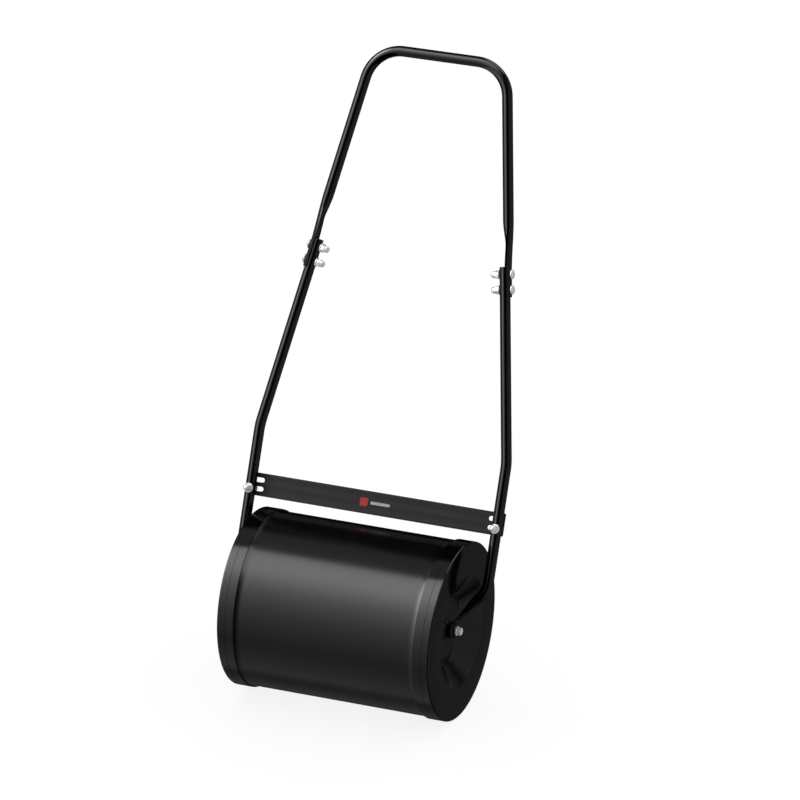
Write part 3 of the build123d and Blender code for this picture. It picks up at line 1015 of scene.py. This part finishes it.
def bolt_cutter(foot, way, length=0.05):
    """A rod that drills a bolt's hole, centred on a point."""
    way = way.normalized()
    side = way.orthogonal().normalized()
    other = way.cross(side)
    rod = skinned("rod", [
        [foot + way * along + (side * cos(a) + other * sin(a)) * bolt_hole for a in port_ring[::2]]
        for along in (-length / 2, length / 2)
    ])
    cutter = bpy.data.objects.new("rod", rod)
    scene.collection.objects.link(cutter)
    return cutter


tube_paint = powder_coat(
    "tube_paint", (0.0011, 0.0011, 0.0012, 1), gloss=0.09, gloss_change=0.01, dust=0.006
)
out_way = in_space(out_leg) - in_space((0, 0))
for side, leg_name, node in (
    (1, "leg_right", "lower_leg_right"), (-1, "leg_left", "lower_leg_left")
):
    rings = right_leg_rings if side > 0 else in_the_glass(right_leg_rings)
    cutters = []
    for distance in joint_bolt_distances:
        foot = in_space(knee + up_leg * distance)
        if side > 0:
            cutters.append(bolt_cutter(foot, out_way))
        else:
            cutters.append(bolt_cutter(flipped(foot), flipped(out_way)))
    cutters.append(bolt_cutter(in_space((side * leg_half_spacing, plate_bolt_height)), front))
    cutters.append(bolt_cutter(in_space((side * lug_middle.x, 0)), Vector((1, 0, 0)), 0.02))
    leg = cut(skinned(leg_name, rings), cutters)
    add_piece(leg, "handle", tube_paint, [node])


# ------------------------------------------------------------------ upper handle
# One tube bent into the grip. Each end is squashed into a saddle that wraps round the outside
# of a leg, so that the two bolts through it can't turn.
upper_offset = 0.0071
saddle_wall = 0.0028
saddle_overlap = 0.053
saddle_wrap = radians(75)
saddle_run_on = 0.001
squash_length = 0.078
saddle_bore = 0.012
saddle_ease = 0.0006
squash_lead = 0.004
grip_corner_radius = 0.065
grip_height = (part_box("upper_handle")[1].z - axle_height - tube_radius) / cos(handle_lean)
saddle_inner = tube_radius + 0.00005
saddle_outer = tube_radius + saddle_wall


def saddle_ring(distance, roundness, thinner=0.0):
    """A ring between the saddle's crescent and the round tube, beside the right leg."""
    centre = knee + up_leg * distance
    ring = []
    for angle in section_angles:
        if cos(angle) >= -1e-9:
            wrap = angle * saddle_wrap / (pi / 2)
            reach = saddle_outer - thinner
        else:
            wrap = (pi - angle) * saddle_wrap / (pi / 2)
            reach = saddle_inner + thinner
        bent = Vector((reach * cos(wrap), reach * sin(wrap)))
        full = Vector((upper_offset + tube_radius * cos(angle), tube_radius * sin(angle)))
        u, v = bent.lerp(full, roundness)
        ring.append(in_space(centre + out_leg * u, v))
    return ring


saddle_end = thigh_length - saddle_overlap
saddle_rings = [
    saddle_ring(saddle_end, 0, saddle_ease),
    saddle_ring(saddle_end + saddle_ease, 0),
    saddle_ring(thigh_length - squash_lead, 0),
]
squash_steps = 16
for i in range(1, squash_steps + 1):
    share = i / squash_steps
    saddle_rings.append(saddle_ring(
        thigh_length - squash_lead + (squash_length + squash_lead + saddle_run_on) * share,
        0.45 * share + 0.55 * eased(share),
    ))
upper_rise = thigh_length + saddle_run_on + squash_length
upper_start = knee + up_leg * upper_rise + out_leg * upper_offset
upper_foot = knee + out_leg * upper_offset
grip_half_width = upper_foot.x - (grip_height - upper_foot.y) * tan(toe_in)
grip_line = set_apart(rounded(
    [upper_start, (grip_half_width, grip_height), (-grip_half_width, grip_height),
     (-upper_start.x, upper_start.y)],
    [grip_corner_radius, grip_corner_radius],
    0.08,
))
grip_rings = [
    section(point, way, tube_radius, tube_radius)
    for point, way in list(zip(grip_line, directions(grip_line)))[1:-1]
]
handle_rings = saddle_rings + grip_rings + in_the_glass(saddle_rings)[::-1]
saddle_cutters = []
for side in (-1, 1):
    for distance in joint_bolt_distances:
        foot = in_space(knee + up_leg * distance + out_leg * saddle_outer)
        if side > 0:
            saddle_cutters.append(bolt_cutter(foot, out_way, saddle_bore))
        else:
            saddle_cutters.append(bolt_cutter(flipped(foot), flipped(out_way), saddle_bore))
grip = cut(skinned("handle_grip", handle_rings), saddle_cutters)
add_piece(grip, "handle", tube_paint, ["upper_handle"])


# ------------------------------------------------------------------ cross plate
# A punched flat bar braces the legs from behind. Two slots at each end let it sit level, and
# its coat is a flatter, greyer black than the tubes'.
plate_half_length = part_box("cross_plate")[1].x
plate_width = 0.041
plate_thickness = 0.0025
plate_corner = 0.002
slot_width = 0.0085
slot_outer = leg_half_spacing + bolt_hole
slot_reach = 0.021
slot_inner = leg_half_spacing - slot_reach
plate_edge = 0.0003


def slot_outline(side, row):
    """A slot's outline, round at both ends."""
    radius = slot_width / 2
    middle = side * (slot_outer + slot_inner) / 2
    half = (slot_outer - slot_inner) / 2 - radius
    height = plate_centre + row * slot_pitch / 2
    ends = []
    for end in (1, -1):
        for i in range(13):
            angle = -pi / 2 + pi * i / 12
            ends.append((middle + end * (half + radius * cos(angle)),
                         height + end * radius * sin(angle)))
    return ends


plate_corners = [
    (0, plate_centre + plate_width / 2), (plate_half_length, plate_centre + plate_width / 2),
    (plate_half_length, plate_centre - plate_width / 2),
    (-plate_half_length, plate_centre - plate_width / 2),
    (-plate_half_length, plate_centre + plate_width / 2), (0, plate_centre + plate_width / 2),
]
plate_outline = rounded(plate_corners, [plate_corner] * 4, radians(18))[:-1]
plate_curve = bpy.data.curves.new("plate", "CURVE")
plate_curve.dimensions = "2D"
plate_curve.fill_mode = "BOTH"
plate_curve.extrude = plate_thickness / 2 - plate_edge
plate_curve.bevel_depth = plate_edge
plate_curve.bevel_resolution = 2
plate_curve.offset = -plate_edge
outlines = [plate_outline] + [slot_outline(side, row) for side in (-1, 1) for row in (-1, 1)]
for outline in outlines:
    stretch = plate_curve.splines.new("POLY")
    stretch.points.add(len(outline) - 1)
    stretch.use_cyclic_u = True
    for point, (x, y) in zip(stretch.points, outline):
        point.co = (x, y, 0, 1)
plate_former = bpy.data.objects.new("plate", plate_curve)
scene.collection.objects.link(plate_former)
plate_graph = bpy.context.evaluated_depsgraph_get()
plate_mesh = bpy.data.meshes.new_from_object(
    plate_former.evaluated_get(plate_graph), depsgraph=plate_graph
)
bpy.data.objects.remove(plate_former)
plate_mesh.name = "brace_plate"
plate_back = -tube_radius - plate_thickness / 2
for vertex in plate_mesh.vertices:
    x, up, out = vertex.co
    vertex.co = in_space((x, up), plate_back + out)
plate_paint = powder_coat(
    "plate_paint", (0.0105, 0.0105, 0.0108, 1), gloss=0.8, gloss_change=0.008, dust=0.003,
    peel_size=900.0,
)
add_piece(tidied(plate_mesh), "handle", plate_paint, ["cross_plate"])


# ------------------------------------------------------------------ plate label
# A printed vinyl label on the plate's front: a plain red tab beside a plain pale bar.
label_thickness = 0.00012
tab_span = (-0.029, -0.014)
tab_height = 0.015
bar_span = (-0.009, 0.028)
bar_height = 0.0052


def label_patch(name, span, height, corner):
    """A thin patch with rounded corners, centred up the plate's front face."""
    left, right = span
    middle = (left + right) / 2
    top = plate_centre + height / 2
    low = plate_centre - height / 2
    outline = rounded(
        [(middle, top), (right, top), (right, low), (left, low), (left, top), (middle, top)],
        [corner] * 4,
        radians(15),
    )[:-1]
    return skinned(name, [
        [in_space(point, out - tube_radius) for point in outline]
        for out in (-0.00001, label_thickness)
    ])


label_red = moulded(
    "label_red", (0.4, 0.008, 0.012, 1), (0.2, 0.02, 0.02, 1), gloss=0.4, grime=0.1
)
label_pale = moulded(
    "label_pale", (0.42, 0.42, 0.42, 1), (0.2, 0.19, 0.18, 1), gloss=0.4, grime=0.1
)
add_piece(label_patch("label_tab", tab_span, tab_height, 0.003), "handle", label_red)
add_piece(label_patch("label_bar", bar_span, bar_height, 0.002), "handle", label_pale)


# ------------------------------------------------------------------ fasteners
# Zinc-plated hardware: cup bolts with dome nuts at the joints and the plate, and a hexagon bolt
# on a flat and a spring washer at each end of the axle. Each nut stops at its own angle.
seat_setter = bpy.data.node_groups.new("fasteners_at_seats", "GeometryNodeTree")
seat_setter.interface.new_socket(
    name="Fasteners", in_out="OUTPUT", socket_type="NodeSocketGeometry"
)
seat_inputs = {
    name: new_input(seat_setter, name, kind)
    for name, kind in (
        ("Seats", "NodeSocketGeometry"),
        ("Fastener", "NodeSocketObject"),
        ("Turn", "NodeSocketFloat"),
        ("Seed", "NodeSocketInt"),
        ("Plating", "NodeSocketMaterial"),
    )
}
seat_in = seat_setter.nodes.new("NodeGroupInput").outputs
one_fastener = place(seat_setter, "GeometryNodeObjectInfo", None, {"Object": seat_in["Fastener"]})
seat_facing = place(
    seat_setter, "GeometryNodeInputNamedAttribute", {"data_type": "FLOAT_VECTOR"},
    {"Name": "facing"},
)
stand_up = place(
    seat_setter,
    "FunctionNodeAlignRotationToVector",
    {"axis": "Z"},
    {"Vector": seat_facing.outputs[0]},
)
stopping_angle = place(
    seat_setter,
    "FunctionNodeRandomValue",
    {"data_type": "FLOAT"},
    {2: 0.0, 3: seat_in["Turn"], "Seed": seat_in["Seed"]},
)
spin = place(
    seat_setter, "ShaderNodeCombineXYZ", None, {"Z": stopping_angle.outputs[1]}
)
spin_rotation = place(seat_setter, "FunctionNodeEulerToRotation", None, {0: spin.outputs[0]})
turned_up = place(
    seat_setter,
    "FunctionNodeRotateRotation",
    {"rotation_space": "LOCAL"},
    {0: stand_up.outputs[0], 1: spin_rotation.outputs[0]},
)
set_fasteners = place(
    seat_setter,
    "GeometryNodeInstanceOnPoints",
    None,
    {"Points": seat_in["Seats"], "Instance": one_fastener.outputs["Geometry"],
     "Rotation": turned_up.outputs[0]},
)
real_fasteners = place(
    seat_setter, "GeometryNodeRealizeInstances", None, {0: set_fasteners.outputs[0]}
)
plated = place(
    seat_setter,
    "GeometryNodeSetMaterial",
    None,
    {"Geometry": real_fasteners.outputs[0], "Material": seat_in["Plating"]},
)
seat_end = seat_setter.nodes.new("NodeGroupOutput")
seat_setter.links.new(plated.outputs[0], seat_end.inputs["Fasteners"])

zinc = bare_metal(
    "zinc", (0.93, 0.93, 0.94, 1), (0.78, 0.78, 0.76, 1), 0.55, gloss=0.24, tarnish=0.3,
    grain_size=700.0, grain_depth=0.000004,
)
around = [-pi / 2 + 2 * pi * i / 60 for i in range(60)]
hex_flat = 0.0065
corner_slope = 0.55
bolt_radius = 0.004
root_radius = 0.0032
axis_radius = 1e-5
washer_radius = 0.0085
washer_thickness = 0.0016
spring_washer_thickness = 0.0020
widest_turn = 6.2


def round_rings(outline):
    """Rings about a fastener's own axis through (radius, height) points."""
    return [[(r * cos(a), r * sin(a), z) for a in around] for r, z in outline]


def hex_rings(height):
    """Rings of a hexagon whose top corners are turned down to a cone."""
    low = [(hex_reach(a, hex_flat), a) for a in around]
    face_radius = hex_flat * 1.05
    return round_rings([(axis_radius, 0.0)]) + [
        [(min(r, face_radius) * cos(a), min(r, face_radius) * sin(a), 0.0) for r, a in low],
        [(r * cos(a), r * sin(a), 0.0003) for r, a in low],
        [(r * cos(a), r * sin(a), height - 0.0002 - corner_slope * (r - hex_flat) * 1.6)
         for r, a in low],
    ] + round_rings([(hex_flat * 0.97, height)])


def threaded_rings(top, bottom, depth=0.0005, pitch=0.00125):
    """Rings of a threaded shank between two heights, its crests and roots in turn."""
    outline = []
    for i in range(int((top - bottom) / pitch)):
        height = top - i * pitch
        outline += [(bolt_radius, height), (bolt_radius - depth, height - pitch / 2)]
    return round_rings(outline)


def dome_nut():
    """A hexagon nut closed by a dome."""
    nut_height = 0.0065
    dome_height = 0.0085
    dome_radius = 0.006
    shoulder = nut_height + dome_height - dome_radius
    outline = [(dome_radius * 1.02, nut_height), (dome_radius, nut_height + 0.0003)]
    for i in range(13):
        lift = pi / 2 * i / 13
        outline.append((dome_radius * cos(lift), shoulder + dome_radius * sin(lift)))
    outline.append((axis_radius, shoulder + dome_radius))
    return skinned("dome_nut", hex_rings(nut_height) + round_rings(outline))


def cup_bolt(length):
    """A round-headed bolt: its head rises from its seat and its shank goes down."""
    head_radius = 0.0085
    head_height = 0.005
    brim = 0.0008
    outline = [(axis_radius, head_height)]
    for i in range(1, 13):
        lift = pi / 2 * (1 - i / 13)
        outline.append((head_radius * cos(lift) ** 0.9, brim + (head_height - brim) * sin(lift)))
    outline += [(head_radius, 0.0007), (head_radius - 0.0003, 0.0), (bolt_radius, 0.0)]
    thread = threaded_rings(-length * 0.6, -length + 0.001)
    end = round_rings([(root_radius, -length), (axis_radius, -length)])
    return skinned("cup_bolt", round_rings(outline) + thread + end)


def hex_bolt(length):
    """A hexagon-headed bolt with a shallow dish in its head."""
    head_height = 0.0053
    head = hex_rings(head_height)[1:]
    dish = round_rings([(0.0046, head_height), (0.0042, 0.0050), (axis_radius, 0.0049)])
    shank = round_rings([(root_radius, -length)])
    shank += threaded_rings(-0.004, -length + 0.001)[::-1]
    shank += round_rings([(bolt_radius, 0.0)])
    return skinned("hex_bolt", shank + head + dish)


def washer():
    """A flat washer with its edges eased."""
    ease = 0.0003
    outer = washer_radius
    top = washer_thickness
    return skinned("washer", round_rings([
        (bolt_hole, ease), (bolt_hole + ease, 0), (outer - ease, 0), (outer, ease),
        (outer, top - ease), (outer - ease, top), (bolt_hole + ease, top),
        (bolt_hole, top - ease),
    ]), loop=True)


def spring_washer():
    """A square-section ring, split once, whose ends stand a little apart in height."""
    outer = 0.00725
    thickness = spring_washer_thickness
    gap = 0.0015 / outer
    ease = 0.0002
    spring = 0.00025
    rings = []
    for i in range(61):
        angle = gap / 2 + (2 * pi - gap) * i / 60
        low = spring * i / 60
        high = thickness - spring * (1 - i / 60)
        rings.append([
            (r * cos(angle), r * sin(angle), z)
            for r, z in ((bolt_hole, low), (outer - ease, low), (outer, low + ease),
                         (outer, high - ease), (outer - ease, high), (bolt_hole, high))
        ])
    return skinned("spring_washer", rings)


def on_seats(name, fastener, seats, node, seed):
    """One fastener at every seat, as one plain mesh that stands for its CAD node."""
    pattern = bpy.data.objects.new(name + "_one", fastener)
    scene.collection.objects.link(pattern)
    points = bpy.data.meshes.new(name + "_seats")
    points.from_pydata([foot for foot, way in seats], [], [])
    ways = points.attributes.new("facing", "FLOAT_VECTOR", "POINT")
    for i, (foot, way) in enumerate(seats):
        ways.data[i].vector = way
    shape = grown(name, points, seat_setter, {
        seat_inputs["Fastener"]: pattern,
        seat_inputs["Turn"]: widest_turn,
        seat_inputs["Seed"]: seed,
        seat_inputs["Plating"]: zinc,
    })
    bpy.data.objects.remove(pattern)
    add_piece(shape, "handle", zinc, [node])


def both_sides(foot, way):
    """A seat on the right-hand side and its mirror image."""
    return [(foot, way), (flipped(foot), flipped(way))]


nut_engagement = 0.010
axle_bolt_reach = 0.022
saddle_seats = []
leg_seats = []
leg_nut_seats = []
for distance in joint_bolt_distances:
    joint_foot = knee + up_leg * distance
    saddle_seats += both_sides(in_space(joint_foot + out_leg * saddle_outer), out_way)
    leg_seats += both_sides(in_space(joint_foot - out_leg * tube_radius), -out_way)
    leg_nut_seats += both_sides(
        in_space(joint_foot - out_leg * (tube_radius + washer_thickness)), -out_way
    )
joint_shank = saddle_outer + tube_radius + washer_thickness + nut_engagement
on_seats("saddle_bolts", cup_bolt(joint_shank), saddle_seats, "joint_bolts", 3)
on_seats("leg_washers", washer(), leg_seats, "joint_washers", 4)
on_seats("leg_dome_nuts", dome_nut(), leg_nut_seats, "joint_nuts", 5)

plate_foot = (leg_half_spacing, plate_bolt_height)
plate_seats = both_sides(in_space(plate_foot, -tube_radius - plate_thickness), -front)
front_seats = both_sides(in_space(plate_foot, tube_radius), front)
front_nut_seats = both_sides(in_space(plate_foot, tube_radius + washer_thickness), front)
plate_shank = plate_thickness + 2 * tube_radius + washer_thickness + nut_engagement
on_seats("brace_bolts", cup_bolt(plate_shank), plate_seats, "plate_bolts", 6)
on_seats("brace_washers", washer(), front_seats, "plate_washers", 7)
on_seats("brace_dome_nuts", dome_nut(), front_nut_seats, "plate_nuts", 8)

axle_middle = Vector((0, 0, axle_height))
outwards = Vector((1, 0, 0))
lug_face = axle_middle + outwards * lug_outer_x
spring_face = lug_face + outwards * washer_thickness
head_face = spring_face + outwards * spring_washer_thickness
axle_bolt_length = head_face.x - (lug_outer_x - lug_thickness) + axle_bolt_reach
lug_seats, spring_seats, head_seats = [
    both_sides(face, outwards) for face in (lug_face, spring_face, head_face)
]
on_seats("lug_washers", washer(), lug_seats, "axle_washers", 9)
on_seats("lug_spring_washers", spring_washer(), spring_seats, "axle_spring_washers", 10)
on_seats("lug_bolts", hex_bolt(axle_bolt_length), head_seats, "axle_bolts", 11)
